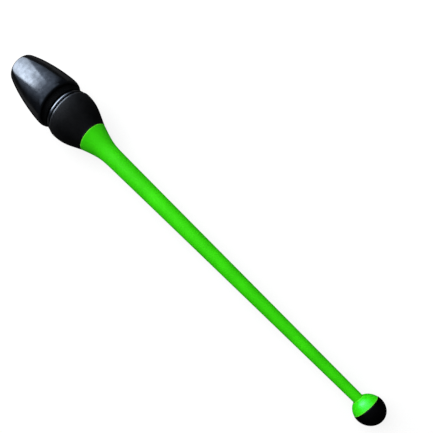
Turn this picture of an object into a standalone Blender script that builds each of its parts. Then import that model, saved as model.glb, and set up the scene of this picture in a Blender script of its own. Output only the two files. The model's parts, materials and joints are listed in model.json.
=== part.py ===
"""Rhythmic gymnastics club with a screw-off socket cup, lying on the floor.

World units are metres and +Z is up.  The dimensions below are millimetres.  Every
sub-part is drawn about one local axis, with z = 0 at the rim of the socket and z
growing towards the ball.  The finished club is then laid down, socket towards +X.
"""
import math

import bmesh
import bpy
from mathutils import Matrix
from mathutils import Vector

MM = 0.001
NAME = "gymnastics_club"
MERGE = 0.00001

# Facets round the axis: big rounds, small hardware, one turn of the thread.
ROUND = 36
SMALL = 16
TURN = 24
GAP = 0.3

# Overall
LENGTH = 452.0

# Cup: the outside runs from the rim, over its corner, along the side to the mouth edge
RIM_OUTER_R = 13.5
CORNER_R = 15.9
CORNER_Z = 2.71
CUP_MAX_R = 25.75
CUP_MAX_Z = 51.85
CUP_END_R = 23.67
CUP_END_Z = 58.07
RIM_INNER_R = 12.95
SOCKET_R = 18.2
LEDGE_Z = 28.2
CUP_BORE_R = 20.2
COUNTERBORE_Z = 54.2
UNDERCUT_R = 24.0
UNDERCUT_Z = 56.4
COUNTERBORE_R = 23.27

# Socket liner, pad and floor
LINER_R = 17.9
LINER_FRONT_Z = 2.75
LINER_END_Z = 24.2
BEAD_R = 11.8
SEAT_R = 13.1
SLITS = 6
SLIT_WIDTH = 1.2
SLIT_END_Z = 15.0
PAD_R = 17.6
PAD_END_Z = 27.9
FLOOR_R = 19.9
FLOOR_END_Z = 31.5
KEY_HOLE_R = 3.0

# Thread between cup and hub
PITCH = 5.0
THREAD_R = 19.9
MALE_SECTION_R = 1.5
FEMALE_SECTION_R = 1.9
MALE_START_Z = 37.0
MALE_TURNS = 2
FEMALE_START_Z = 34.5
FEMALE_TURNS = 4.5

# Hub: spigot in the cup, flange between cup and bulb, tail through the bulb into the neck
SPIGOT_R = 19.6
SPIGOT_BORE_R = 16.2
SPIGOT_NOSE_Z = 34.0
HUB_FLOOR_Z = 57.0
HUB_WEB_END_Z = 60.4
FLANGE_R = 23.2
FLANGE_Z = 63.5
FLANGE_END_Z = 67.1
PILOT_R = 21.6
PILOT_INNER_R = 19.2
PILOT_END_Z = 70.5
TAIL_R = 8.0
TAIL_END_Z = 110.0
BOLT_HOLE_R = 2.8
KEYWAY_FLOOR_R = 18.0
KEYWAY_WIDTH = 5.0

# Thrust ring in the groove between cup and flange
RING_R = 22.97
RING_INNER_R = 21.85
RING_BEAD_R = 23.7
RING_BEAD_Z = 54.5
RING_BEAD_END_Z = 56.1
LUG_R = 18.4
LUG_OUTER_R = 22.4
LUG_WIDTH = 4.2
LUG_Z = 60.2

# Nose gasket
GASKET_R = 19.3
GASKET_INNER_R = 16.4

# Bulb sleeve
BULB_TOP_R = 22.7
BULB_MAX_R = 24.74
BULB_MAX_Z = 70.6
BULB_END_R = 15.43
BULB_BORE_R = 21.9
BULB_END_Z = 102.7

# Centre bolt, washer and the insert it screws into
BOLT_R = 2.5
BOLT_HEAD_R = 4.25
BOLT_HEAD_Z = 50.4
BOLT_SHANK_Z = 55.4
BOLT_END_Z = 126.0
BOLT_SOCKET_R = 2.3
BOLT_SOCKET_DEPTH = 2.6
WASHER_R = 7.0
INSERT_R = 3.9
INSERT_Z = 111.0
INSERT_END_Z = 127.5

# Neck
NECK_Z = 103.0
NECK_R = 15.35
WAIST_R = 8.84
WAIST_Z = 133.08
NECK_TIP_R = 4.57
NECK_TIP_Z = 426.9
NECK_END_Z = 430.0
NECK_BORE_END_Z = 129.0

# Ball, a green collar and a black cap on one centre
BALL_R = 12.79
BALL_Z = LENGTH - BALL_R
COLLAR_R = 12.6
SPLIT_Z = 436.25
STUD_R = 2.0
STUD_Z = 404.0
STUD_END_Z = 445.0
BALL_INSERT_R = 4.0
BALL_INSERT_END_Z = 446.0

# Colours
BLACK_GLOSS = (0.006, 0.007, 0.009)
BLACK_SATIN = (0.011, 0.011, 0.012)
BLACK_RUBBER = (0.012, 0.012, 0.013)
GREEN = (0.045, 0.58, 0.012)
GREY_FELT = (0.09, 0.09, 0.095)
STEEL = (0.42, 0.43, 0.45)
BRASS = (0.62, 0.45, 0.17)


def clear_scene():
    """Start from an empty file."""
    for item in list(bpy.data.objects):
        bpy.data.objects.remove(item, do_unlink=True)


def add_collection(name):
    """New collection in the scene."""
    group = bpy.data.collections.new(name)
    bpy.context.scene.collection.children.link(group)
    return group


def paint(thing, colour, roughness, metallic=0.0):
    """Give one object its own Principled material."""
    material = bpy.data.materials.new(thing.name)
    material.use_nodes = True
    shader = material.node_tree.nodes["Principled BSDF"]
    shader.inputs["Base Color"].default_value = (*colour, 1.0)
    shader.inputs["Roughness"].default_value = roughness
    shader.inputs["Metallic"].default_value = metallic
    thing.data.materials.append(material)


def add_object(name, data, group):
    """Link an object and, for a piece of the club, hang it on the club's axis."""
    thing = bpy.data.objects.new(name, data)
    group.objects.link(thing)
    thing.parent = AXIS
    if group is CUTTERS:
        thing.hide_render = True
        thing.display_type = "WIRE"
    return thing


def bezier(start, leave, arrive, end, steps):
    """Points of a smooth (r, z) stretch, both ends included."""
    points = []
    for step in range(steps + 1):
        u = step / steps
        weights = ((1 - u) ** 3, 3 * u * (1 - u) ** 2, 3 * u * u * (1 - u), u ** 3)
        ends = (start, leave, arrive, end)
        r = sum(w * p[0] for w, p in zip(weights, ends))
        z = sum(w * p[1] for w, p in zip(weights, ends))
        points.append((r, z))
    return points


def sphere_arc(radius, z_top, z_bottom, steps):
    """Points on the ball from z_top down to z_bottom."""
    top = math.acos(min(1.0, (z_top - BALL_Z) / radius))
    bottom = math.acos((z_bottom - BALL_Z) / radius)
    points = []
    for step in range(steps + 1):
        angle = top + (bottom - top) * step / steps
        points.append((radius * math.sin(angle), BALL_Z + radius * math.cos(angle)))
    return points


def turned(name, profile, steps=ROUND, on_axis=False, group=None):
    """Turn an (r, z) profile round the axis; it runs down its outer side."""
    mesh = bpy.data.meshes.new(name)
    count = len(profile)
    edges = [(i, i + 1) for i in range(count - 1)]
    if not on_axis:
        edges.append((count - 1, 0))
    mesh.from_pydata([(r * MM, 0.0, z * MM) for r, z in profile], edges, [])
    thing = add_object(name, mesh, group or PIECES)
    screw = thing.modifiers.new("turn", "SCREW")
    screw.axis = "Z"
    screw.angle = 2 * math.pi
    screw.steps = steps
    screw.render_steps = steps
    screw.use_merge_vertices = True
    screw.merge_threshold = MERGE
    return thing


def ring(name, inner_r, outer_r, z_low, z_high, steps=ROUND):
    """Plain turned ring."""
    corners = [(outer_r, z_high), (outer_r, z_low), (inner_r, z_low), (inner_r, z_high)]
    return turned(name, corners, steps)


def box_cutter(name, r_low, r_high, width, z_low, z_high, angle):
    """Block that stands out from the axis at one angle."""
    x = (r_low * MM, r_high * MM)
    y = (-width / 2 * MM, width / 2 * MM)
    z = (z_low * MM, z_high * MM)
    bpy.ops.mesh.primitive_cube_add(size=1)
    thing = bpy.context.object
    thing.name = name
    size = Matrix.Diagonal((x[1] - x[0], y[1] - y[0], z[1] - z[0], 1.0))
    middle = Matrix.Translation((sum(x) / 2, 0.0, sum(z) / 2))
    thing.data.transform(Matrix.Rotation(angle, 4, "Z") @ middle @ size)
    return move_to_cutters(thing)


def move_to_cutters(thing):
    """Put a primitive with the other cutters."""
    for group in list(thing.users_collection):
        group.objects.unlink(thing)
    CUTTERS.objects.link(thing)
    thing.parent = AXIS
    thing.hide_render = True
    thing.display_type = "WIRE"
    return thing


def hexagon_cutter(name, radius, z_low, z_high):
    """Six-sided prism on the axis."""
    bpy.ops.mesh.primitive_cylinder_add(
        vertices=6, radius=radius * MM, depth=(z_high - z_low) * MM
    )
    thing = bpy.context.object
    thing.name = name
    thing.data.transform(Matrix.Translation((0.0, 0.0, (z_low + z_high) / 2 * MM)))
    return move_to_cutters(thing)


def helix(name, section_r, start_z, turns):
    """Right-hand coil with a round section, as a closed mesh."""
    curve = bpy.data.curves.new(name, "CURVE")
    curve.dimensions = "3D"
    curve.bevel_depth = section_r * MM
    curve.bevel_resolution = 2
    curve.use_fill_caps = True
    count = round(turns * TURN) + 1
    line = curve.splines.new("POLY")
    line.points.add(count - 1)
    phase = 2 * math.pi * (start_z - MALE_START_Z) / PITCH
    for i, point in enumerate(line.points):
        angle = 2 * math.pi * i / TURN
        x = THREAD_R * math.cos(angle + phase) * MM
        y = THREAD_R * math.sin(angle + phase) * MM
        z = (start_z + PITCH * i / TURN) * MM
        point.co = (x, y, z, 1.0)
    source = add_object(name + "_line", curve, CUTTERS)
    bpy.context.view_layer.update()
    depsgraph = bpy.context.evaluated_depsgraph_get()
    mesh = bpy.data.meshes.new_from_object(source.evaluated_get(depsgraph))
    bpy.data.objects.remove(source, do_unlink=True)
    thing = add_object(name, mesh, CUTTERS)
    weld(mesh)
    return thing


def weld(mesh):
    """Close the caps of a meshed curve."""
    body = bmesh.new()
    body.from_mesh(mesh)
    bmesh.ops.remove_doubles(body, verts=body.verts, dist=MERGE)
    bmesh.ops.recalc_face_normals(body, faces=body.faces)
    body.to_mesh(mesh)
    body.free()


def combine(thing, tool, operation):
    """Cut a tool out of a piece, or join it on."""
    step = thing.modifiers.new(tool.name, "BOOLEAN")
    step.operation = operation
    step.solver = "EXACT"
    step.object = tool


def build_cup():
    """Hollow cup with the socket at one end and the female thread at the other."""
    corner = bezier((RIM_OUTER_R, 0.0), (14.6, 0.05), (15.3, 1.1), (CORNER_R, CORNER_Z), 3)
    side = bezier(
        (CORNER_R, CORNER_Z), (23.44, 22.62), (CUP_MAX_R, 46.93), (CUP_MAX_R, CUP_MAX_Z), 7
    )
    edge = bezier(
        (CUP_MAX_R, CUP_MAX_Z), (CUP_MAX_R, 55.4), (25.47, CUP_END_Z), (CUP_END_R, CUP_END_Z), 4
    )
    outside = corner + side[1:] + edge[1:]
    inside = [
        (RIM_INNER_R, 0.0),
        (RIM_INNER_R, 2.2),
        (14.3, 3.4),
        (17.1, 12.0),
        (SOCKET_R, 17.0),
        (SOCKET_R, LEDGE_Z),
        (CUP_BORE_R, LEDGE_Z),
        (CUP_BORE_R, COUNTERBORE_Z),
        (UNDERCUT_R, COUNTERBORE_Z),
        (UNDERCUT_R, UNDERCUT_Z),
        (COUNTERBORE_R, UNDERCUT_Z),
        (COUNTERBORE_R, CUP_END_Z),
    ]
    cup = turned("cup_shell", outside[::-1] + inside)
    groove = helix("cup_thread", FEMALE_SECTION_R, FEMALE_START_Z, FEMALE_TURNS)
    combine(cup, groove, "DIFFERENCE")
    paint(cup, BLACK_GLOSS, 0.12)


def build_socket():
    """Gripping liner, cushion pad and floor disc inside the cup."""
    liner_profile = [
        (LINER_R, LINER_END_Z),
        (LINER_R, 17.3),
        (16.75, 12.35),
        (14.0, 3.85),
        (12.5, LINER_FRONT_Z),
        (BEAD_R, 5.2),
        (BEAD_R, 6.8),
        (SEAT_R, 9.0),
        (SEAT_R, LINER_END_Z),
    ]
    liner = turned("socket_liner", liner_profile)
    for i in range(SLITS):
        angle = 2 * math.pi * i / SLITS
        slit = box_cutter("liner_slit", 9.0, 20.0, SLIT_WIDTH, 0.0, SLIT_END_Z, angle)
        combine(liner, slit, "DIFFERENCE")
    paint(liner, BLACK_RUBBER, 0.6)
    pad = ring("socket_pad", KEY_HOLE_R, PAD_R, LINER_END_Z + GAP, PAD_END_Z)
    paint(pad, GREY_FELT, 0.9)
    disc = ring("socket_floor", KEY_HOLE_R, FLOOR_R, LEDGE_Z + GAP, FLOOR_END_Z)
    paint(disc, BLACK_SATIN, 0.5)


def build_ring():
    """Thrust ring, snapped into the cup and keyed to the spigot."""
    end_z = FLANGE_Z - GAP
    profile = [
        (RING_R, end_z),
        (RING_R, RING_BEAD_END_Z),
        (RING_BEAD_R, RING_BEAD_END_Z),
        (RING_BEAD_R, RING_BEAD_Z),
        (RING_INNER_R, RING_BEAD_Z),
        (RING_INNER_R, end_z),
    ]
    thrust = turned("thrust_ring", profile)
    for side in range(2):
        angle = math.pi * (side + 0.5)
        lug = box_cutter("ring_lug", LUG_R, LUG_OUTER_R, LUG_WIDTH, LUG_Z, end_z - GAP, angle)
        combine(thrust, lug, "UNION")
    paint(thrust, BLACK_RUBBER, 0.55)


def build_hub():
    """Core moulding: threaded spigot, flange, tail and tenon."""
    flange = bezier((FLANGE_R, FLANGE_END_Z), (23.9, 66.4), (23.3, 64.2), (22.4, FLANGE_Z), 4)
    profile = [
        (TAIL_R, TAIL_END_Z),
        (TAIL_R, HUB_WEB_END_Z),
        (SPIGOT_BORE_R, HUB_WEB_END_Z),
        (SPIGOT_BORE_R, FLANGE_END_Z),
        (PILOT_INNER_R, FLANGE_END_Z),
        (PILOT_INNER_R, PILOT_END_Z),
        (PILOT_R, PILOT_END_Z),
        (PILOT_R, FLANGE_END_Z),
        *flange,
        (SPIGOT_R, FLANGE_Z),
        (SPIGOT_R, SPIGOT_NOSE_Z),
        (SPIGOT_BORE_R, SPIGOT_NOSE_Z),
        (SPIGOT_BORE_R, HUB_FLOOR_Z),
        (BOLT_HOLE_R, HUB_FLOOR_Z),
        (BOLT_HOLE_R, TAIL_END_Z),
    ]
    hub = turned("hub_core", profile)
    combine(hub, helix("hub_thread", MALE_SECTION_R, MALE_START_Z, MALE_TURNS), "UNION")
    for side in range(2):
        angle = math.pi * (side + 0.5)
        keyway = box_cutter(
            "hub_keyway", KEYWAY_FLOOR_R, 24.0, KEYWAY_WIDTH, 30.0, FLANGE_Z - 0.1, angle
        )
        combine(hub, keyway, "DIFFERENCE")
    paint(hub, BLACK_GLOSS, 0.18)
    gasket = ring(
        "nose_gasket", GASKET_INNER_R, GASKET_R, FLOOR_END_Z + GAP, SPIGOT_NOSE_Z - GAP
    )
    paint(gasket, BLACK_RUBBER, 0.7)


def build_bulb():
    """Soft sleeve round the hub's tail, between the flange and the neck."""
    top_z = FLANGE_END_Z + GAP
    top = bezier((BULB_TOP_R, top_z), (24.1, top_z), (BULB_MAX_R, 68.7), (BULB_MAX_R, BULB_MAX_Z), 3)
    shoulder = bezier(
        (BULB_MAX_R, BULB_MAX_Z), (24.91, 84.34), (20.61, 89.91), (BULB_END_R, BULB_END_Z), 7
    )
    outside = top + shoulder[1:]
    inside = [
        (BULB_BORE_R, top_z),
        (BULB_BORE_R, 79.0),
        (19.7, 87.5),
        (15.2, 96.5),
        (TAIL_R + GAP, 100.2),
        (TAIL_R + GAP, BULB_END_Z),
    ]
    paint(turned("bulb_sleeve", outside[::-1] + inside), BLACK_SATIN, 0.45)


def build_bolt():
    """Socket-head bolt that pulls hub and neck together, its washer and its insert."""
    profile = [
        (0.0, BOLT_END_Z),
        (BOLT_R - 0.5, BOLT_END_Z),
        (BOLT_R, BOLT_END_Z - 0.5),
        (BOLT_R, BOLT_SHANK_Z),
        (BOLT_HEAD_R, BOLT_SHANK_Z),
        (BOLT_HEAD_R, BOLT_HEAD_Z + 0.5),
        (BOLT_HEAD_R - 0.5, BOLT_HEAD_Z),
        (0.0, BOLT_HEAD_Z),
    ]
    bolt = turned("core_bolt", profile, SMALL, on_axis=True)
    key = hexagon_cutter(
        "bolt_key", BOLT_SOCKET_R, BOLT_HEAD_Z - 1, BOLT_HEAD_Z + BOLT_SOCKET_DEPTH
    )
    combine(bolt, key, "DIFFERENCE")
    paint(bolt, STEEL, 0.3, 1.0)
    washer_end = HUB_FLOOR_Z - GAP
    washer = ring("core_washer", BOLT_HOLE_R, WASHER_R, BOLT_SHANK_Z + GAP, washer_end, TURN)
    paint(washer, STEEL, 0.35, 1.0)
    insert = ring("neck_insert", BOLT_HOLE_R, INSERT_R, INSERT_Z, INSERT_END_Z, SMALL)
    paint(insert, BRASS, 0.3, 1.0)


def build_neck():
    """Green neck: flare at the bulb, long taper, a tip that plugs into the ball."""
    flare = bezier((NECK_R, NECK_Z), (8.92, 121.71), (9.33, 125.07), (WAIST_R, WAIST_Z), 8)
    taper = bezier(
        (WAIST_R, WAIST_Z), (8.21, 162.47), (4.97, 397.54), (NECK_TIP_R, NECK_TIP_Z), 6
    )
    outside = flare + taper[1:]
    bore_r = STUD_R + GAP
    tip = [
        (0.0, STUD_Z - GAP),
        (bore_r, STUD_Z - GAP),
        (bore_r, NECK_END_Z),
        (NECK_TIP_R, NECK_END_Z),
    ]
    root = [
        (TAIL_R + GAP, NECK_Z),
        (TAIL_R + GAP, TAIL_END_Z + GAP),
        (INSERT_R + GAP, TAIL_END_Z + GAP),
        (INSERT_R + GAP, NECK_BORE_END_Z),
        (0.0, NECK_BORE_END_Z),
    ]
    neck = turned("neck", tip + outside[::-1] + root, on_axis=True)
    paint(neck, GREEN, 0.32)


def build_ball():
    """Ball at the end: green collar, black rubber cap, and the stud that holds them."""
    recess_r = NECK_TIP_R + GAP
    recess_z = BALL_Z - math.sqrt(COLLAR_R ** 2 - recess_r ** 2)
    face_z = SPLIT_Z - GAP / 2
    inside = [
        (recess_r, NECK_END_Z + GAP),
        (STUD_R + GAP, NECK_END_Z + GAP),
        (STUD_R + GAP, face_z),
    ]
    collar = turned("ball_collar", sphere_arc(COLLAR_R, face_z, recess_z, 5) + inside)
    paint(collar, GREEN, 0.25)
    cap_z = SPLIT_Z + GAP / 2
    pocket_r = BALL_INSERT_R + GAP
    pocket = [
        (pocket_r, cap_z),
        (pocket_r, BALL_INSERT_END_Z + GAP),
        (0.0, BALL_INSERT_END_Z + GAP),
    ]
    crown = sphere_arc(BALL_R, LENGTH, BALL_Z, 6)
    edge = (math.sqrt(BALL_R ** 2 - (BALL_Z - cap_z) ** 2), cap_z)
    cap = turned("ball_cap", crown + [edge] + pocket, on_axis=True)
    paint(cap, BLACK_RUBBER, 0.4)
    insert = ring("ball_insert", STUD_R + GAP, BALL_INSERT_R, cap_z + GAP, BALL_INSERT_END_Z, SMALL)
    paint(insert, BRASS, 0.3, 1.0)
    stud = turned(
        "ball_stud",
        [(0.0, STUD_END_Z), (STUD_R, STUD_END_Z), (STUD_R, STUD_Z), (0.0, STUD_Z)],
        SMALL,
        on_axis=True,
    )
    paint(stud, STEEL, 0.35, 1.0)


def lay_down():
    """Rest the club on one facet of the cup and one of the ball, middle over the origin."""
    facet = math.cos(math.pi / ROUND)
    tilt = math.atan((CUP_MAX_R - BALL_R) * facet / (BALL_Z - CUP_MAX_Z))
    turn = Matrix.Rotation(-(math.pi / 2 + tilt), 4, "Y") @ Matrix.Rotation(math.pi / ROUND, 4, "Z")
    AXIS.matrix_world = turn
    bpy.context.view_layer.update()
    depsgraph = bpy.context.evaluated_depsgraph_get()
    corners = []
    for piece in PIECES.objects:
        if piece.type == "MESH":
            solid = piece.evaluated_get(depsgraph)
            corners += [solid.matrix_world @ v.co for v in solid.data.vertices]
    low = Vector(min(c[i] for c in corners) for i in range(3))
    high = Vector(max(c[i] for c in corners) for i in range(3))
    middle = (low + high) / 2
    AXIS.matrix_world = Matrix.Translation((-middle.x, -middle.y, -low.z)) @ turn
    bpy.context.view_layer.update()


clear_scene()
PIECES = add_collection(NAME)
CUTTERS = add_collection(NAME + "_cutters")
AXIS = bpy.data.objects.new("club_axis", None)
PIECES.objects.link(AXIS)
build_cup()
build_socket()
build_ring()
build_hub()
build_bulb()
build_bolt()
build_neck()
build_ball()
lay_down()
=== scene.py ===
"""Looks of the gymnastics club: each piece rebuilt smooth on its CAD body, with finishes and a studio.

The frame is in metres, +Z up. Piece dimensions are millimetres along the club's own axis: z is 0 at the
rim of the socket and grows towards the ball.
"""

import json
import math

import bmesh
import bpy
from mathutils import Matrix, Vector

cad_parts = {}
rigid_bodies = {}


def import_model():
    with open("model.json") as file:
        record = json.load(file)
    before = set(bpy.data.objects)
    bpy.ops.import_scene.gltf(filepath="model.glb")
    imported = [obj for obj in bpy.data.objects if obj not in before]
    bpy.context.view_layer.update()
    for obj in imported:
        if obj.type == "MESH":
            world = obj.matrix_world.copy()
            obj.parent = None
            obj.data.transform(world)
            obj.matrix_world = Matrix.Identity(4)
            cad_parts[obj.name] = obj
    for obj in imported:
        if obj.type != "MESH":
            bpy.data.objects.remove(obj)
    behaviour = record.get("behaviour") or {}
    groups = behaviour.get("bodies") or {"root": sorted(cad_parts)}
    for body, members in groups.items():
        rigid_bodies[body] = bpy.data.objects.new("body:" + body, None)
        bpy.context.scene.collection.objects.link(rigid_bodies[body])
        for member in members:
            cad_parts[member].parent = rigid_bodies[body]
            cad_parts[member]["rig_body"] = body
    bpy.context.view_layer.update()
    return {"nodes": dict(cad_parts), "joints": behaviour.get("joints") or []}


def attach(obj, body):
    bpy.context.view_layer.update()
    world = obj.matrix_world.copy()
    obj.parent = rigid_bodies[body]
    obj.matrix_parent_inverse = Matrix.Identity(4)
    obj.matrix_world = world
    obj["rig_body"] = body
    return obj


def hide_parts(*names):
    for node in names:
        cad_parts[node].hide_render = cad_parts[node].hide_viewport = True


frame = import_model()

MM = 0.001
LENGTH = 452.0

# Sides of a turned piece
BROAD = 216
MEDIUM = 144
SMALL = 96

# Cup
RIM_OUTER_R = 13.5
RIM_INNER_R = 12.95
CORNER_R = 15.9
CORNER_Z = 2.71
CUP_MAX_R = 25.75
CUP_MAX_Z = 51.85
CUP_END_R = 23.6
CUP_END_Z = 56.5
SOCKET_R = 18.2
LEDGE_Z = 28.2
CUP_BORE_R = 20.2
COUNTERBORE_R = 23.0
COUNTERBORE_Z = 52.7
UNDERCUT_R = 24.0
UNDERCUT_Z = 54.9

# Socket: liner, pad and floor
LINER_R = 17.9
LINER_FRONT_Z = 2.75
LINER_END_Z = 24.2
BEAD_R = 11.8
SEAT_R = 13.1
SLITS = 6
SLIT_R = 14.5
SLIT_LENGTH = 11.0
SLIT_WIDTH = 1.2
SLIT_END_Z = 15.0
PAD_R = 17.6
PAD_Z = 24.5
PAD_END_Z = 27.9
FLOOR_R = 19.9
FLOOR_Z = 28.5
FLOOR_END_Z = 31.5
KEY_HOLE_R = 3.0

# Thread between cup and hub: the hub's two turns, and the plain start of the cup's
PITCH = 5.0
THREAD_R = 19.9
THREAD_Z = 37.0
THREAD_END_Z = THREAD_Z + 2 * PITCH
THREAD_FADE = 0.8
RIDGE = 1.5
GROOVE = 1.9
CUP_THREAD_Z = 32.6

# Hub
SPIGOT_R = 19.6
SPIGOT_BORE_R = 16.2
SPIGOT_NOSE_Z = 34.0
KEYWAY_FLOOR_R = 18.0
KEYWAY_WIDTH = 5.0
KEYWAY_END_Z = 63.3
HUB_FLOOR_Z = 57.0
HUB_WEB_END_Z = 60.4
FLANGE_R = 23.2
FLANGE_Z = 64.4
FLANGE_END_Z = 67.7
PILOT_R = 21.6
PILOT_INNER_R = 19.2
PILOT_END_Z = 70.5
TAIL_R = 8.0
TAIL_HOLE_R = 8.3
TAIL_END_Z = 110.0
BOLT_HOLE_R = 2.8

# Thrust ring and gasket
RING_R = 22.7
RING_INNER_R = 21.85
RING_END_Z = 63.2
RING_BEAD_R = 23.7
RING_BEAD_Z = 53.0
RING_BEAD_END_Z = 54.6
LUG_R = 18.4
LUG_WIDTH = 4.2
LUG_Z = 60.2
LUG_END_Z = 62.9
GASKET_R = 19.3
GASKET_INNER_R = 16.4
GASKET_Z = 31.8
GASKET_END_Z = 33.7

# Bulb
BULB_TOP_R = 22.9
BULB_TOP_Z = 68.7
BULB_MAX_R = 24.75
BULB_MAX_Z = 71.6
BULB_BORE_R = 21.9
BULB_END_R = 15.43
BULB_END_Z = 102.7

# Neck
NECK_Z = 103.0
NECK_R = 15.35
WAIST_R = 8.84
WAIST_Z = 133.08
NECK_TIP_R = 4.57
NECK_TIP_Z = 426.9
NECK_END_Z = 430.0
NECK_BORE_R = 4.2
NECK_BORE_Z = 110.3
NECK_BORE_END_Z = 129.0
STUD_HOLE_R = 2.3
STUD_HOLE_Z = 403.7

# The ball and its colour split
BALL_R = 12.79
BALL_Z = LENGTH - BALL_R
COLLAR_R = 12.62
COLLAR_RECESS_R = 4.87
COLLAR_RECESS_Z = 430.3
SPLIT_Z = 436.25
SPLIT_HALF_GAP = 0.12
CAP_HOLE_R = 4.3
CAP_HOLE_END_Z = 446.3

# Bolt, washer, inserts and stud
BOLT_R = 2.5
BOLT_HEAD_R = 4.25
BOLT_HEAD_Z = 50.4
BOLT_SHANK_Z = 55.4
BOLT_END_Z = 126.0
HEX_R = 2.3
HEX_DEPTH = 3.6
HEX_MIDDLE_Z = 51.2
WASHER_R = 7.0
WASHER_Z = 55.7
WASHER_END_Z = 56.7
INSERT_R = 3.9
INSERT_Z = 111.0
INSERT_END_Z = 127.5
BALL_INSERT_R = 4.0
BALL_INSERT_Z = 436.7
BALL_INSERT_END_Z = 446.0
STUD_R = 2.0
STUD_Z = 404.0
STUD_END_Z = 445.0

# The twist joint gives the middle of the rim and the direction out of the socket.
TWIST = next(j for j in frame["joints"] if j["name"] == "cup_twist")
RIM = Vector(TWIST["pos_m"])
DOWN_CLUB = -Vector(TWIST["axis"]).normalized()
ACROSS = Vector((0.0, 1.0, 0.0))
ABOVE = ACROSS.cross(DOWN_CLUB)

# Piece coordinates have X up, Y across and Z down the club. The CAD thread starts a facet round from X.
CLUB = Matrix.Translation(RIM) @ Matrix((ABOVE, ACROSS, DOWN_CLUB)).transposed().to_4x4()
FACET = math.pi / 36

# Handling polishes or scuffs a corner of the black pieces over WEAR_AND_HIGHLIGHT_WIDTH; on the green pieces
# the same corner measure paints a highlight. A corner
#  that turns by less than WEAR_AND_HIGHLIGHT_START (in radians) shows nothing, and WEAR_AND_HIGHLIGHT_SPAN
#  more is full wear or full painted highlight.
WEAR_AND_HIGHLIGHT_WIDTH = 0.7
WEAR_AND_HIGHLIGHT_START = 0.12
WEAR_AND_HIGHLIGHT_SPAN = 0.6

# Outline radii and stations closer than SAME are equal; shorter stretches than SPECK (mm) have no direction.
SAME = 0.01
SPECK = 1e-6


# ---------------------------------------------------------------- outlines


def bezier(start, leave, arrive, end, steps):
    """Smooth stretch of an outline, both ends included."""
    points = []
    for i in range(steps + 1):
        u = i / steps
        weights = ((1 - u) ** 3, 3 * u * (1 - u) ** 2, 3 * u * u * (1 - u), u ** 3)
        ends = (start, leave, arrive, end)
        points.append(tuple(sum(w * p[k] for w, p in zip(weights, ends)) for k in (0, 1)))
    return points


def arc_on_ball(radius, z_from, z_to, steps):
    """Points on a sphere about the ball's centre."""
    first = math.acos(max(-1.0, min(1.0, (z_from - BALL_Z) / radius)))
    last = math.acos(max(-1.0, min(1.0, (z_to - BALL_Z) / radius)))
    points = []
    for i in range(steps + 1):
        angle = first + (last - first) * i / steps
        points.append((radius * math.sin(angle), BALL_Z + radius * math.cos(angle)))
    return points


def soften(outline, closed=True, arc_steps=4):
    """Round each corner given as (r, z, radius); plain (r, z) points stay as they are."""
    count = len(outline)
    result = []
    for i, point in enumerate(outline):
        here = Vector(point[:2])
        at_end = not closed and i in (0, count - 1)
        if len(point) == 2 or at_end:
            result.append(tuple(here))
            continue
        before = Vector(outline[i - 1][:2]) - here
        after = Vector(outline[(i + 1) % count][:2]) - here
        half = before.angle(after) / 2
        reach = min(point[2] / math.tan(half), 0.49 * before.length, 0.49 * after.length)
        start = here + before.normalized() * reach
        end = here + after.normalized() * reach
        for k in range(arc_steps + 1):
            u = k / arc_steps
            spot = start * (1 - u) ** 2 + here * 2 * u * (1 - u) + end * u * u
            result.append(tuple(spot))
    return result


def subdivide(outline, spacing, closed=True):
    """Cut long straight stretches into short ones."""
    result = []
    last = len(outline) if closed else len(outline) - 1
    for i in range(last):
        a = Vector(outline[i])
        b = Vector(outline[(i + 1) % len(outline)])
        cuts = max(1, math.ceil((b - a).length / spacing))
        result += [tuple(a.lerp(b, k / cuts)) for k in range(cuts)]
    if not closed:
        result.append(tuple(outline[-1]))
    return result


def flat_ring(inner, outer, low, high, edge):
    """Outline of a plain ring with softened edges."""
    corners = [(outer, high, edge), (outer, low, edge), (inner, low, edge), (inner, high, edge)]
    return soften(corners)


# ---------------------------------------------------------------- pieces


def edge_wear_and_highlight(outline, closed):
    """How exposed each outline point is, 0 on a flat or hollow stretch and 1 on a sharp outer corner."""
    count = len(outline)
    travel = [0.0]
    turns = []
    for i, here in enumerate(outline):
        back = Vector(here) - Vector(outline[i - 1])
        ahead = Vector(outline[(i + 1) % count]) - Vector(here)
        travel.append(travel[-1] + ahead.length)
        at_end = not closed and i in (0, count - 1)
        flat = at_end or back.length < SPECK or ahead.length < SPECK
        turns.append(0.0 if flat else max(0.0, back.angle_signed(ahead)))
    wear_and_highlight = []
    for i in range(count):
        total = 0.0
        for j in range(count):
            gap = abs(travel[i] - travel[j])
            gap = min(gap, travel[-1] - gap) if closed else gap
            total += turns[j] * max(0.0, 1 - gap / WEAR_AND_HIGHLIGHT_WIDTH)
        wear_and_highlight.append(max(0.0, min(1.0, (total - WEAR_AND_HIGHLIGHT_START) / WEAR_AND_HIGHLIGHT_SPAN)))
    return wear_and_highlight


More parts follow.
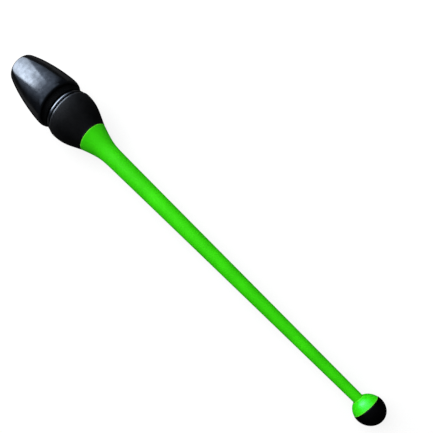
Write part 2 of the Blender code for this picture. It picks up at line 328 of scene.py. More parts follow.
def turned(name, outline, steps, relief=None, closed=True):
    """Turn an outline round the club's axis. relief(angle, r, z) may change a point's radius."""
    body = bmesh.new()
    layer = body.verts.layers.float.new("wear_and_highlight")
    rings = []
    for (r, z), wear_and_highlight in zip(outline, edge_wear_and_highlight(outline, closed)):
        if r < SPECK:
            rings.append([body.verts.new((0.0, 0.0, z * MM))] * steps)
            continue
        ring = []
        for k in range(steps):
            angle = 2 * math.pi * k / steps
            radius = relief(angle, r, z) if relief else r
            across = (math.cos(angle + FACET), math.sin(angle + FACET))
            vertex = body.verts.new((radius * across[0] * MM, radius * across[1] * MM, z * MM))
            vertex[layer] = wear_and_highlight
            ring.append(vertex)
        rings.append(ring)
    pairs = list(zip(rings, rings[1:]))
    if closed:
        pairs.append((rings[-1], rings[0]))
    for upper, lower in pairs:
        for k in range(steps):
            n = (k + 1) % steps
            corners = [upper[k], lower[k], lower[n], upper[n]]
            unique = [v for i, v in enumerate(corners) if v is not corners[i - 1]]
            if len(unique) > 2:
                body.faces.new(unique)
    bmesh.ops.recalc_face_normals(body, faces=body.faces)
    mesh = bpy.data.meshes.new(name)
    body.to_mesh(mesh)
    body.free()
    piece = bpy.data.objects.new(name, mesh)
    bpy.context.scene.collection.objects.link(piece)
    piece.matrix_world = CLUB
    return piece


def cut_away(piece, tool_body):
    """Take a tool's volume out of a piece for good."""
    mesh = bpy.data.meshes.new("tool")
    tool_body.to_mesh(mesh)
    tool_body.free()
    tool = bpy.data.objects.new("tool", mesh)
    bpy.context.scene.collection.objects.link(tool)
    tool.matrix_world = piece.matrix_world
    cut = piece.modifiers.new("cut", "BOOLEAN")
    cut.operation = "DIFFERENCE"
    cut.solver = "EXACT"
    cut.object = tool
    bpy.context.view_layer.update()
    shape = piece.evaluated_get(bpy.context.evaluated_depsgraph_get())
    result = bpy.data.meshes.new_from_object(shape)
    piece.modifiers.clear()
    piece.data = result
    bpy.data.objects.remove(tool)


def settle(piece, node, finish):
    """Smooth the piece, give it its finish and hang it on its CAD node's body."""
    piece.data.polygons.foreach_set("use_smooth", [True] * len(piece.data.polygons))
    piece.data.set_sharp_from_angle(angle=math.radians(40))
    piece.data.materials.clear()
    piece.data.materials.append(finish)
    body = frame["nodes"][node]["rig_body"]
    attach(piece, body)
    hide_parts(node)


def from_crest(angle, z):
    """Distance along the axis from the nearest thread crest, and that crest's own z."""
    start = THREAD_Z + PITCH * angle / (2 * math.pi)
    turn = round((z - start) / PITCH)
    crest = start + turn * PITCH
    return abs(z - crest), crest


def cup_relief(angle, r, z):
    """Female thread in the cup's bore, open at the counterbore's step."""
    on_bore = abs(r - CUP_BORE_R) < SAME and z > CUP_THREAD_Z
    on_step = abs(z - COUNTERBORE_Z) < SAME and r < UNDERCUT_R - SAME
    if not (on_bore or on_step):
        return r
    away, _ = from_crest(angle, z)
    depth = math.sqrt(max(0.0, GROOVE ** 2 - away ** 2))
    return max(r, THREAD_R + depth) if depth > 0 else r


def by_keyway(angle, r, width):
    """True across a width at the two key positions, a quarter turn from the angular zero."""
    return abs(math.cos(angle)) * r < width / 2


def hub_relief(angle, r, z):
    """Male thread and keyways on the spigot."""
    if abs(r - SPIGOT_R) > SAME or z > KEYWAY_END_Z:
        return r
    if by_keyway(angle, r, KEYWAY_WIDTH):
        return KEYWAY_FLOOR_R
    away, crest = from_crest(angle, z)
    past = max(THREAD_Z - crest, crest - THREAD_END_Z, 0.0)
    ridge = RIDGE * max(0.0, 1 - past / THREAD_FADE)
    depth = math.sqrt(max(0.0, ridge ** 2 - away ** 2))
    return max(r, THREAD_R + depth) if depth > 0 else r


def ring_relief(angle, r, z):
    """Two lugs on the inside of the thrust ring."""
    inside = abs(r - RING_INNER_R) < SAME
    if inside and LUG_Z < z < LUG_END_Z and by_keyway(angle, r, LUG_WIDTH):
        return LUG_R
    return r


def make_cup(finish):
    """Glossy hollow cup."""
    corner = bezier((RIM_OUTER_R, 0.0), (14.6, 0.05), (15.3, 1.1), (CORNER_R, CORNER_Z), 10)
    widest = (CUP_MAX_R, CUP_MAX_Z)
    side = bezier((CORNER_R, CORNER_Z), (23.44, 22.62), (CUP_MAX_R, 46.93), widest, 48)
    edge = bezier(widest, (CUP_MAX_R, 54.6), (25.3, CUP_END_Z), (CUP_END_R, CUP_END_Z), 16)
    outside = (corner + side[1:] + edge[1:])[::-1]
    inside = [
        (RIM_INNER_R, 0.0, 0.3),
        (RIM_INNER_R, 2.2, 0.3),
        (14.3, 3.4, 0.3),
        (17.1, 12.0, 2.0),
        (SOCKET_R, 17.0, 2.0),
        (SOCKET_R, LEDGE_Z, 0.2),
        (CUP_BORE_R, LEDGE_Z, 0.2),
        (CUP_BORE_R, COUNTERBORE_Z),
        (UNDERCUT_R, COUNTERBORE_Z),
        (UNDERCUT_R, UNDERCUT_Z),
        (COUNTERBORE_R, UNDERCUT_Z, 0.2),
        (COUNTERBORE_R, CUP_END_Z, 0.15),
    ]
    outline = subdivide(soften(outside + inside), 0.45)
    settle(turned("cup_skin", outline, BROAD, cup_relief), "cup_shell", finish)


def make_liner(finish):
    """Rubber sleeve with a gripping bead, slit into petals at its mouth."""
    outline = [
        (LINER_R, LINER_END_Z, 0.3),
        (LINER_R, 17.3, 1.0),
        (16.75, 12.35, 1.0),
        (14.0, 3.85, 0.5),
        (12.5, LINER_FRONT_Z, 0.4),
        (BEAD_R, 5.2, 1.4),
        (BEAD_R, 6.8, 1.4),
        (SEAT_R, 9.0, 1.6),
        (SEAT_R, LINER_END_Z, 0.3),
    ]
    liner = turned("liner_rubber", soften(outline, arc_steps=5), steps=120)
    slits = bmesh.new()
    for i in range(SLITS):
        made = bmesh.ops.create_cube(slits, size=1.0)
        scale = Matrix.Diagonal((SLIT_LENGTH * MM, SLIT_WIDTH * MM, SLIT_END_Z * MM, 1.0))
        place = Matrix.Translation((SLIT_R * MM, 0.0, SLIT_END_Z / 2 * MM)) @ scale
        turn = Matrix.Rotation(2 * math.pi * i / SLITS + FACET, 4, "Z")
        bmesh.ops.transform(slits, matrix=turn @ place, verts=made["verts"])
    cut_away(liner, slits)
    settle(liner, "socket_liner", finish)


def make_socket_bottom(felt, plastic, rubber):
    """Felt pad, the disc behind it and the gasket against the spigot."""
    outline = flat_ring(KEY_HOLE_R, PAD_R, PAD_Z, PAD_END_Z, 0.5)
    settle(turned("pad_felt", outline, SMALL), "socket_pad", felt)
    outline = flat_ring(KEY_HOLE_R, FLOOR_R, FLOOR_Z, FLOOR_END_Z, 0.3)
    settle(turned("disc_plastic", outline, SMALL), "socket_floor", plastic)
    outline = flat_ring(GASKET_INNER_R, GASKET_R, GASKET_Z, GASKET_END_Z, 0.3)
    settle(turned("gasket_rubber", outline, SMALL), "nose_gasket", rubber)


def make_ring(finish):
    """Ring in the groove, snapped into the cup's mouth."""
    outline = [
        (RING_R, RING_END_Z, 0.2),
        (RING_R, RING_BEAD_END_Z),
        (RING_BEAD_R, RING_BEAD_END_Z, 0.2),
        (RING_BEAD_R, RING_BEAD_Z, 0.2),
        (RING_INNER_R, RING_BEAD_Z, 0.1),
        (RING_INNER_R, RING_END_Z, 0.1),
    ]
    outline = subdivide(soften(outline), 0.3)
    settle(turned("ring_skin", outline, BROAD, ring_relief), "thrust_ring", finish)


def make_hub(finish):
    """Core moulding with the glossy flange that shows beside the bulb."""
    flange = bezier((FLANGE_R, FLANGE_END_Z), (23.95, 67.3), (23.0, 65.0), (22.4, FLANGE_Z), 16)
    outline = [
        (TAIL_R, TAIL_END_Z, 0.4),
        (TAIL_R, HUB_WEB_END_Z, 0.8),
        (SPIGOT_BORE_R, HUB_WEB_END_Z, 0.8),
        (SPIGOT_BORE_R, FLANGE_END_Z),
        (PILOT_INNER_R, FLANGE_END_Z),
        (PILOT_INNER_R, PILOT_END_Z, 0.3),
        (PILOT_R, PILOT_END_Z, 0.3),
        (PILOT_R, FLANGE_END_Z),
        *flange,
        (SPIGOT_R, FLANGE_Z),
        (SPIGOT_R, SPIGOT_NOSE_Z, 0.5),
        (SPIGOT_BORE_R, SPIGOT_NOSE_Z, 0.4),
        (SPIGOT_BORE_R, HUB_FLOOR_Z, 1.0),
        (BOLT_HOLE_R, HUB_FLOOR_Z, 0.3),
        (BOLT_HOLE_R, TAIL_END_Z, 0.2),
    ]
    outline = subdivide(soften(outline), 0.45)
    settle(turned("hub_skin", outline, BROAD, hub_relief), "hub_core", finish)


def make_bulb(finish):
    """Matte bulb."""
    widest = (BULB_MAX_R, BULB_MAX_Z)
    top = bezier((BULB_TOP_R, BULB_TOP_Z), (24.0, 68.8), (24.72, 70.3), widest, 14)
    shoulder = bezier(widest, (24.91, 84.34), (20.61, 89.91), (BULB_END_R, BULB_END_Z), 48)
    inside = [
        (BULB_BORE_R, BULB_TOP_Z, 0.2),
        (BULB_BORE_R, 79.0, 3.0),
        (19.7, 87.5, 3.0),
        (15.2, 96.5, 2.0),
        (TAIL_HOLE_R, 100.2, 0.5),
        (TAIL_HOLE_R, BULB_END_Z, 0.2),
    ]
    outside = (top + shoulder[1:])[::-1]
    outside[0] = (*outside[0], 0.25)
    settle(turned("bulb_skin", soften(outside + inside), BROAD), "bulb_sleeve", finish)


def make_neck(finish):
    """Green flare, waist and long taper."""
    waist = (WAIST_R, WAIST_Z)
    flare = bezier((NECK_R, NECK_Z), (8.92, 121.71), (9.33, 125.07), waist, 56)
    taper = bezier(waist, (8.21, 162.47), (4.97, 397.54), (NECK_TIP_R, NECK_TIP_Z), 110)
    outside = flare + taper[1:]
    outside[0] = (*outside[0], 0.4)
    tip = [
        (0.0, STUD_HOLE_Z),
        (STUD_HOLE_R, STUD_HOLE_Z),
        (STUD_HOLE_R, NECK_END_Z, 0.1),
        (NECK_TIP_R, NECK_END_Z, 0.3),
    ]
    root = [
        (TAIL_HOLE_R, NECK_Z, 0.3),
        (TAIL_HOLE_R, NECK_BORE_Z),
        (NECK_BORE_R, NECK_BORE_Z, 0.2),
        (NECK_BORE_R, NECK_BORE_END_Z),
        (0.0, NECK_BORE_END_Z),
    ]
    outline = soften(tip + outside[::-1] + root, closed=False)
    settle(turned("neck_skin", outline, steps=128, closed=False), "neck", finish)


def make_collar(finish):
    """The ball's half against the neck."""
    face_z = SPLIT_Z - SPLIT_HALF_GAP
    recess_z = BALL_Z - math.sqrt(COLLAR_R ** 2 - COLLAR_RECESS_R ** 2)
    shell = arc_on_ball(COLLAR_R, face_z, recess_z, 40)
    shell[0] = (*shell[0], 0.3)
    shell[-1] = (*shell[-1], 0.2)
    inside = [
        (COLLAR_RECESS_R, COLLAR_RECESS_Z),
        (STUD_HOLE_R, COLLAR_RECESS_Z),
        (STUD_HOLE_R, face_z),
    ]
    outline = subdivide(soften(shell + inside), 0.8)
    settle(turned("collar_skin", outline, MEDIUM), "ball_collar", finish)


def make_cap(finish):
    """The ball's half at the tip."""
    face_z = SPLIT_Z + SPLIT_HALF_GAP
    crown = arc_on_ball(BALL_R, LENGTH, face_z, 60)
    crown[-1] = (*crown[-1], 0.25)
    pocket = [(CAP_HOLE_R, face_z, 0.2), (CAP_HOLE_R, CAP_HOLE_END_Z), (0.0, CAP_HOLE_END_Z)]
    outline = subdivide(soften(crown + pocket, closed=False), 0.8, closed=False)
    settle(turned("cap_skin", outline, MEDIUM, closed=False), "ball_cap", finish)


def screw_relief(root, pitch, low, high):
    """Fine V thread between two stations."""

    def relief(angle, r, z):
        if r < root + SAME or not low < z < high:
            return r
        phase = (z / pitch - angle / (2 * math.pi)) % 1.0
        return r - 0.5 * pitch * abs(2 * phase - 1)

    return relief


def knurl_relief(outer, low, high):
    """Crossed knurl of twelve starts each way, 0.3 mm deep, on the outside of an insert."""

    def relief(angle, r, z):
        if r < outer - SAME or not low < z < high:
            return r
        rise = abs(math.sin(12 * angle + 2.4 * z)) * abs(math.sin(12 * angle - 2.4 * z))
        return r - 0.3 * (1 - rise)

    return relief


def make_bolt(finish):
    """Socket-head bolt through the hub into the neck, threaded at its end."""
    shape = [
        (0.0, BOLT_END_Z),
        (BOLT_R, BOLT_END_Z, 0.4),
        (BOLT_R, BOLT_SHANK_Z),
        (BOLT_HEAD_R, BOLT_SHANK_Z, 0.15),
        (BOLT_HEAD_R, BOLT_HEAD_Z, 0.45),
        (0.0, BOLT_HEAD_Z),
    ]
    outline = subdivide(soften(shape, closed=False), 0.2, closed=False)
    thread = screw_relief(2.4, 0.8, 104.0, 125.8)
    bolt = turned("bolt_steel", outline, 48, thread, closed=False)
    key = bmesh.new()
    radius = HEX_R * MM
    bmesh.ops.create_cone(
        key, cap_ends=True, segments=6, radius1=radius, radius2=radius, depth=HEX_DEPTH * MM
    )
    bmesh.ops.translate(key, verts=key.verts, vec=(0.0, 0.0, HEX_MIDDLE_Z * MM))
    cut_away(bolt, key)
    settle(bolt, "core_bolt", finish)


def make_stud(finish):
    """Threaded stud between neck and cap."""
    shape = [(0.0, STUD_END_Z), (STUD_R, STUD_END_Z, 0.3), (STUD_R, STUD_Z, 0.3), (0.0, STUD_Z)]
    outline = subdivide(soften(shape, closed=False), 0.14, closed=False)
    thread = screw_relief(1.95, 0.7, 404.4, 444.6)
    settle(turned("stud_steel", outline, 32, thread, closed=False), "ball_stud", finish)


def make_hardware(steel, brass):
    """Centre bolt, washer, inserts and stud."""
    make_bolt(steel)
    outline = flat_ring(BOLT_HOLE_R, WASHER_R, WASHER_Z, WASHER_END_Z, 0.15)
    settle(turned("washer_steel", outline, SMALL), "core_washer", steel)
    outline = subdivide(flat_ring(BOLT_HOLE_R, INSERT_R, INSERT_Z, INSERT_END_Z, 0.15), 0.25)
    knurl = knurl_relief(INSERT_R, 112.0, 126.5)
    settle(turned("insert_brass", outline, SMALL, knurl), "neck_insert", brass)
    ring = flat_ring(STUD_HOLE_R, BALL_INSERT_R, BALL_INSERT_Z, BALL_INSERT_END_Z, 0.15)
    knurl = knurl_relief(BALL_INSERT_R, 437.5, 445.2)
    settle(turned("cap_insert_brass", subdivide(ring, 0.25), SMALL, knurl), "ball_insert", brass)
    make_stud(steel)


# ---------------------------------------------------------------- finishes


class Nodes:
    """Short ways to add and link the nodes of one shader tree."""

    def __init__(self, tree):
        self.tree = tree

    def add(self, kind, **settings):
        """New node with its properties set."""
        node = self.tree.nodes.new(kind)
        for key, value in settings.items():
            setattr(node, key, value)
        return node

    def join(self, source, target):
        """Link two sockets."""
        self.tree.links.new(source, target)

    def spread(self, value, low, high, start=0.35, end=0.65, ease="LINEAR"):
        """Map start..end, by default a noise's usual range, to low..high."""
        node = self.add("ShaderNodeMapRange", interpolation_type=ease)
        node.inputs["From Min"].default_value = start
        node.inputs["From Max"].default_value = end
        node.inputs["To Min"].default_value = low
        node.inputs["To Max"].default_value = high
        self.join(value, node.inputs["Value"])
        return node.outputs["Result"]

    def maths(self, operation, *values):
        """Scalar maths on sockets or numbers."""
        node = self.add("ShaderNodeMath", operation=operation)
        for socket, value in zip(node.inputs, values):
            if isinstance(value, (int, float)):
                socket.default_value = value
            else:
                self.join(value, socket)
        return node.outputs[0]

    def dot(self, value, weights):
        """Dot product of a vector socket with three weights."""
        node = self.add("ShaderNodeVectorMath", operation="DOT_PRODUCT")
        self.join(value, node.inputs[0])
        node.inputs[1].default_value = weights
        return node.outputs["Value"]

    def part(self, value, axis):
        """One coordinate of a vector socket."""
        node = self.add("ShaderNodeSeparateXYZ")
        self.join(value, node.inputs[0])
        return node.outputs[axis]

    def finish_with(self, output, factor, shader, other):
        """Send a mix of two shaders to the tree's output, the second where factor is 1."""
        mix = self.add("ShaderNodeMixShader")
        self.join(factor, mix.inputs["Fac"])
        self.join(shader.outputs[0], mix.inputs[1])
        self.join(other.outputs[0], mix.inputs[2])
        self.join(mix.outputs[0], self.tree.nodes[output].inputs["Surface"])


class Finish(Nodes):
    """Principled material whose colour, roughness and bump come from noise in piece coordinates."""

    def __init__(self, name):
        self.material = bpy.data.materials.new(name)
        self.material.use_nodes = True
        super().__init__(self.material.node_tree)
        self.shader = self.tree.nodes["Principled BSDF"]
        self.place = self.add("ShaderNodeTexCoord").outputs["Object"]

    def noise(self, grain_mm, detail=4.0, stretch=(1.0, 1.0, 1.0), roughness=0.55):
        """Noise with features of about grain_mm, in a range of about 0.3 to 0.7."""
        scale = self.add("ShaderNodeVectorMath", operation="MULTIPLY")
        self.join(self.place, scale.inputs[0])
        scale.inputs[1].default_value = [s / (grain_mm * MM) for s in stretch]
        texture = self.add("ShaderNodeTexNoise")
        texture.inputs["Scale"].default_value = 1.0
        texture.inputs["Detail"].default_value = detail
        texture.inputs["Roughness"].default_value = roughness
        self.join(scale.outputs[0], texture.inputs["Vector"])
        return texture.outputs["Fac"]

    def blend(self, factor, plain, other):
        """Base colour between two, each a colour or a socket. Returns its socket."""
        node = self.add("ShaderNodeMix", data_type="RGBA")
        self.join(factor, node.inputs["Factor"])
        for key, value in (("A", plain), ("B", other)):
            if isinstance(value, tuple):
                node.inputs[key].default_value = (*value, 1.0)
            else:
                self.join(value, node.inputs[key])
        self.join(node.outputs["Result"], self.shader.inputs["Base Color"])
        return node.outputs["Result"]

    def wear_and_highlight_mask(self):
        """Edge wear stored on the mesh, 0 to 1; on the green pieces it places a painted highlight."""
        return self.add("ShaderNodeAttribute", attribute_name="wear_and_highlight").outputs["Fac"]

    def rough(self, value):
        """Roughness from a socket."""
        self.join(value, self.shader.inputs["Roughness"])

    def bump(self, height, depth_mm):
        """Bump of a real depth."""
        node = self.add("ShaderNodeBump")
        node.inputs["Strength"].default_value = 1.0
        node.inputs["Distance"].default_value = depth_mm * MM
        self.join(height, node.inputs["Height"])
        self.join(node.outputs["Normal"], self.shader.inputs["Normal"])

    def set(self, **values):
        """Plain shader inputs; an underscore stands for a space."""
        for key, value in values.items():
            self.shader.inputs[key.replace("_", " ")].default_value = value


def gloss_black(name, worn_rough, shine):
    """Polished black plastic with fine scratches, dust and softened corners."""
    f = Finish(name)
    cloud = f.spread(f.noise(9.0, 5.0), 0.0, 1.0)
    wear_and_highlight_mask = f.wear_and_highlight_mask()
    f.blend(f.maths("MAXIMUM", cloud, wear_and_highlight_mask), (0.0013, 0.0015, 0.0021), (0.0042, 0.0047, 0.006))
    haze = f.spread(f.noise(4.0, 8.0, roughness=0.7), 0.07, 0.13)
    lines = f.spread(f.noise(0.35, 3.0, (1.0, 1.0, 0.03)), 0.0, 0.10, 0.58, 0.74)
    dust = f.spread(f.noise(0.9, 2.0), 0.0, 0.25, 0.70, 0.78)
    rough = f.maths("ADD", f.maths("ADD", haze, lines), dust)
    f.rough(f.maths("ADD", rough, f.maths("MULTIPLY", wear_and_highlight_mask, worn_rough)))
    # Smudges dull the reflections, and at a grazing angle they fade.
    smudges = f.spread(f.noise(4.5, 6.0, roughness=0.65), 0.38 * shine, 0.60 * shine, 0.40, 0.60)
    facing = f.add("ShaderNodeLayerWeight").outputs["Facing"]
    grazing = f.spread(facing, 1.0, 0.0, 0.35, 0.78)
    f.join(f.maths("MULTIPLY", smudges, grazing), f.shader.inputs["Specular IOR Level"])
    ripple = f.maths("MULTIPLY", f.noise(3.2, 4.0, roughness=0.7), 5.0)
    f.bump(f.maths("ADD", f.noise(1.2, 3.0), ripple), 0.006)
    return f.material


def matte_black(name, tones, rough, grain, depth, shine=0.2, polish=0.0):
    """Textured black plastic or rubber. Handling has polished its outer edges."""
    f = Finish(name)
    low, high = tones
    cloud = f.spread(f.noise(7.0, 6.0), 0.0, 1.0)
    wear_and_highlight_mask = f.wear_and_highlight_mask()
    f.blend(f.maths("MAXIMUM", cloud, wear_and_highlight_mask), (low, low, low), (high, high, high * 1.08))
    f.rough(f.spread(f.noise(2.5, 6.0), *rough))
    f.bump(f.noise(grain, 2.0), depth)
    glaze = f.maths("MINIMUM", f.maths("MULTIPLY", wear_and_highlight_mask, polish), 1.0)
    f.join(glaze, f.shader.inputs["Coat Weight"])
    f.set(Specular_IOR_Level=shine, Specular_Tint=(1.0, 0.9, 0.8, 1.0), Coat_Roughness=0.08)
    return f.material


def bright_green(name, tones, rough, tint, shine):
    """Fluorescent green plastic with a faint parting line, and a painted highlight that makes its softened
    edges paler.
    """
    f = Finish(name)
    low, high = tones
    cloud = f.spread(f.noise(22.0, 6.0), 0.0, 1.0)
    body = f.blend(cloud, (0.028, low, 0.001), (0.036, high, 0.002))
    # Painted highlight: softened edges, such as the bevel at the neck's seam and the ball's split, are
    # blended to a paler green.
    f.blend(f.maths("MULTIPLY", f.wear_and_highlight_mask(), 0.7), body, (0.16, 0.70, 0.04))
    f.rough(f.spread(f.noise(3.0, 7.0), *rough))
    away = f.maths("ABSOLUTE", f.part(f.place, "X"))
    line = f.spread(away, 1.0, 0.0, 0.05 * MM, 0.22 * MM)
    grain = f.maths("MULTIPLY", f.noise(0.5, 3.0), 0.4)
    f.bump(f.maths("ADD", line, grain), 0.03)
    f.set(Specular_Tint=(*tint, 1.0), Specular_IOR_Level=shine)
    return f.material


def bare_metal(name, dark, light):
    """Turned or plated metal, its grain drawn out along the axis."""
    f = Finish(name)
    stretch = (1.0, 1.0, 0.1)
    f.blend(f.spread(f.noise(2.0, 6.0), 0.0, 1.0), dark, light)
    f.rough(f.spread(f.noise(0.25, 4.0, stretch), 0.22, 0.42))
    f.bump(f.noise(0.2, 2.0, stretch), 0.01)
    f.set(Metallic=1.0)
    return f.material


def grey_felt(name):
    """Pressed felt."""
    f = Finish(name)
    fibres = f.noise(0.5, 8.0, roughness=0.75)
    f.blend(f.spread(fibres, 0.0, 1.0), (0.04, 0.04, 0.045), (0.14, 0.14, 0.15))
    f.rough(f.spread(fibres, 0.85, 1.0))
    f.bump(fibres, 0.4)
    f.set(Sheen_Weight=0.4)
    return f.material


# ---------------------------------------------------------------- studio

# Fitted to the photograph: a close camera above the neck that leans towards the socket end. The
# photograph is a crop, so the lens is shifted.
CAMERA_ALONG = 335.94
CAMERA_ABOVE = 441.86
CAMERA_LEAN = math.radians(11.489)
CAMERA_ASIDE = math.radians(8.342)
CLUB_SLOPE = math.radians(44.603)
CAMERA_LENS = 42.47
CAMERA_SHIFT = (0.1586, 0.1850)
SENSOR = 36.0

# Lengths and places in metres
FLOOR_SIZE = 12.0
FLOOR_GLOW = 0.84
FLOOR_IN_REFLECTIONS = 0.03
KEY_PLACE = (0.85, 0.05, 1.1)
KEY_SIZE = 1.5
KEY_POWER = 27.0

# The softbox stands on the table beyond the socket end.
SOFTBOX_X = 0.947
SOFTBOX_Y = -0.01
SOFTBOX_WIDE = 0.86
SOFTBOX_TALL = 0.90
SOFTBOX_RADIANCE = 12.8
SOFTBOX_COLOUR = (0.87, 1.0, 1.19)

# What shades it: weights of the panel's width and height, where each ramp starts and ends, and its levels
SOFTBOX_RAMPS = (
    ((1.0, 0.0), 0.0, 0.10, 0.0, 1.0),
    ((1.0, 0.0), 0.1, 0.92, 0.48, 1.0),
    ((1.0, 0.0), 1.0, 0.90, 0.0, 1.0),
    ((0.0, 1.0), 0.0, 0.60, 0.55, 1.0),
    ((-0.2, 1.0), 0.86, 0.46, 0.06, 1.0),
    ((1.0, -0.6), 1.0, 0.78, 0.0, 1.0),
    ((1.0, 0.6), 1.36, 1.16, 0.2, 1.0),
)

# Surroundings: an even light, and for reflections a dark room with a glow towards the softbox
AMBIENT = 0.38
AMBIENT_COLOUR = (0.95, 0.98, 1.0)
DARK_ROOM = 0.04
GLOW_AIM = Vector((0.90, -0.11, 0.42)).normalized()
GLOW_COLOUR = (0.80, 1.0, 1.35)


def add_camera():
    """Camera at the photograph's viewing angle, the club running down to the right."""
    forward = -ABOVE * math.cos(CAMERA_LEAN) - DOWN_CLUB * math.sin(CAMERA_LEAN)
    along = DOWN_CLUB * math.cos(CAMERA_LEAN) - ABOVE * math.sin(CAMERA_LEAN)
    view = forward * math.cos(CAMERA_ASIDE) + ACROSS * math.sin(CAMERA_ASIDE)
    side = ACROSS * math.cos(CAMERA_ASIDE) - forward * math.sin(CAMERA_ASIDE)
    right = along * math.cos(CLUB_SLOPE) - side * math.sin(CLUB_SLOPE)
    up = -view.cross(right)
    data = bpy.data.cameras.new("camera")
    data.lens = CAMERA_LENS
    data.sensor_width = SENSOR
    data.clip_start = 0.01
    camera = bpy.data.objects.new("camera", data)
    bpy.context.scene.collection.objects.link(camera)
    turn = Matrix((right, up, -view)).transposed().to_4x4()
    place = RIM + DOWN_CLUB * CAMERA_ALONG * MM + ABOVE * CAMERA_ABOVE * MM
    camera.matrix_world = Matrix.Translation(place) @ turn
    bpy.context.scene.camera = camera
    # The lens is shifted only while the camera stands in this place, so other views stay centred.
    for axis, shift in zip("xy", CAMERA_SHIFT):
        driver = data.driver_add(f"shift_{axis}").driver
        height = driver.variables.new()
        height.name = "height"
        height.type = "TRANSFORMS"
        height.targets[0].id = camera
        height.targets[0].transform_type = "LOC_Z"
        driver.expression = f"{shift} if abs(height - {place.z:.5f}) < 0.0005 else 0.0"


def add_floor():
    """Pale, faintly glowing table. It shows dark in reflections, except beyond the socket end."""
    bpy.ops.mesh.primitive_plane_add(size=FLOOR_SIZE)
    floor = bpy.context.object
    floor.name = "floor"
    f = Finish("floor_paint")
    f.blend(f.spread(f.noise(60.0, 6.0), 0.0, 1.0), (0.165, 0.165, 0.165), (0.18, 0.18, 0.18))
    f.rough(f.spread(f.noise(8.0, 5.0), 0.75, 0.9))
    f.set(Specular_IOR_Level=0.0, Emission_Color=(1.0, 1.0, 1.0, 1.0))
    rays = f.add("ShaderNodeLightPath")
    glow = f.maths("MULTIPLY", rays.outputs["Is Camera Ray"], FLOOR_GLOW)
    f.join(glow, f.shader.inputs["Emission Strength"])
    x = f.part(f.place, "X")
    rise = f.spread(x, 0.0, 1.0, 0.14, 0.26)
    open_end = f.maths("MULTIPLY", rise, f.spread(x, 0.62, 0.0, 0.27, 0.34))
    hide = f.maths("MULTIPLY", rays.outputs["Is Glossy Ray"], f.maths("SUBTRACT", 1.0, open_end))
    dark = f.add("ShaderNodeEmission")
    dark.inputs["Strength"].default_value = FLOOR_IN_REFLECTIONS
    f.finish_with("Material Output", hide, f.shader, dark)
    floor.data.materials.append(f.material)


def add_light(name, turn, place, size, power, colour):
    """Soft area light."""
    data = bpy.data.lights.new(name, "AREA")
    data.shape = "RECTANGLE"
    data.size, data.size_y = size
    data.energy = power
    data.color = colour
    light = bpy.data.objects.new(name, data)
    bpy.context.scene.collection.objects.link(light)
    light.matrix_world = Matrix.Translation(place) @ turn.to_4x4()
    return light


def add_softbox():
    """Upright softbox, seen in reflections only, brightest towards one upper corner."""
    upright = Matrix(((0.0, 0.0, 1.0), (1.0, 0.0, 0.0), (0.0, 1.0, 0.0)))
    place = (SOFTBOX_X, SOFTBOX_Y, SOFTBOX_TALL / 2)
    size = (SOFTBOX_WIDE, SOFTBOX_TALL)
    power = math.pi * SOFTBOX_WIDE * SOFTBOX_TALL * SOFTBOX_RADIANCE
    box = add_light("softbox", upright, place, size, power, SOFTBOX_COLOUR)
    box.visible_diffuse = False
    box.data.use_nodes = True
    nodes = Nodes(box.data.node_tree)
    spot = nodes.add("ShaderNodeNewGeometry").outputs["Parametric"]
    level = 1.0
    for weights, start, end, low, high in SOFTBOX_RAMPS:
        along = nodes.dot(spot, (*weights, 0.0))
        ramp = nodes.spread(along, low, high, start, end, "SMOOTHSTEP")
        level = nodes.maths("MULTIPLY", level, ramp)
    nodes.join(level, nodes.tree.nodes["Emission"].inputs["Strength"])


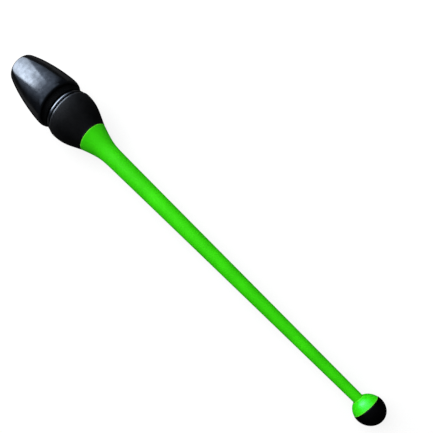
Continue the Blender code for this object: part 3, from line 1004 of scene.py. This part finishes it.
def add_world():
    """Dim even surroundings. Reflections see a dark room that glows by the softbox and on the ceiling."""
    world = bpy.data.worlds.new("studio")
    world.use_nodes = True
    nodes = Nodes(world.node_tree)
    even = nodes.tree.nodes["Background"]
    even.inputs["Color"].default_value = (*AMBIENT_COLOUR, 1.0)
    even.inputs["Strength"].default_value = AMBIENT
    aim = nodes.add("ShaderNodeTexCoord").outputs["Generated"]
    towards = nodes.spread(nodes.dot(aim, GLOW_AIM), 0.0, 1.65, 0.58, 1.0)
    glow = nodes.maths("MULTIPLY_ADD", towards, towards, DARK_ROOM)
    beyond = nodes.spread(nodes.part(aim, "X"), 0.0, 1.0, -0.75, 0.45, "SMOOTHSTEP")
    overhead = nodes.spread(nodes.part(aim, "Z"), 0.0, 1.15, 0.45, 0.75, "SMOOTHSTEP")
    ceiling = nodes.maths("MULTIPLY", beyond, overhead)
    room = nodes.add("ShaderNodeBackground")
    room.inputs["Color"].default_value = (*GLOW_COLOUR, 1.0)
    nodes.join(nodes.maths("MAXIMUM", glow, ceiling), room.inputs["Strength"])
    rays = nodes.add("ShaderNodeLightPath")
    nodes.finish_with("World Output", rays.outputs["Is Glossy Ray"], even, room)
    bpy.context.scene.world = world


def add_key():
    """Broad key light from the upper left, left out of reflections."""
    turn = Vector(KEY_PLACE).to_track_quat("Z", "Y").to_matrix()
    key = add_light("key", turn, KEY_PLACE, (KEY_SIZE, KEY_SIZE), KEY_POWER, (1.0, 1.0, 1.0))
    key.visible_glossy = False


def build_club():
    """Every piece in its finish."""
    make_cup(gloss_black("gloss_black", worn_rough=0.05, shine=1.0))
    soft = matte_black("soft_rubber", (0.006, 0.014), (0.55, 0.75), grain=0.6, depth=0.05)
    make_liner(soft)
    satin = matte_black("satin_black", (0.003, 0.007), (0.38, 0.55), grain=0.5, depth=0.03)
    make_socket_bottom(grey_felt("grey_felt"), satin, soft)
    # Black plastic, toned darker than the other black parts as painted shade for the deep groove the ring
    # sits in.
    make_ring(matte_black("ring_black_painted_shade", (0.0006, 0.0016), (0.5, 0.66), 0.5, 0.03, shine=0.02))
    make_hub(gloss_black("flange_black", worn_rough=0.0, shine=1.6))
    make_bulb(matte_black("bulb_black", (0.0010, 0.0026), (0.5, 0.66), 0.35, 0.03, 0.14, polish=4.0))
    make_neck(bright_green("neck_green", (0.57, 0.67), (0.36, 0.48), (0.7, 1.0, 0.35), 0.2))
    make_collar(bright_green("collar_green", (0.71, 0.81), (0.27, 0.36), (0.45, 1.0, 0.8), 0.5))
    make_cap(matte_black("cap_rubber", (0.0004, 0.0010), (0.42, 0.6), 0.9, 0.02, 0.04, polish=0.2))
    steel = bare_metal("plated_steel", (0.40, 0.41, 0.44), (0.62, 0.63, 0.66))
    brass = bare_metal("turned_brass", (0.50, 0.34, 0.11), (0.72, 0.54, 0.22))
    make_hardware(steel, brass)


def build_studio():
    """Floor, surroundings, lights and camera."""
    add_floor()
    add_world()
    add_softbox()
    add_key()
    add_camera()
    bpy.context.scene.view_settings.view_transform = "Standard"


build_club()
build_studio()
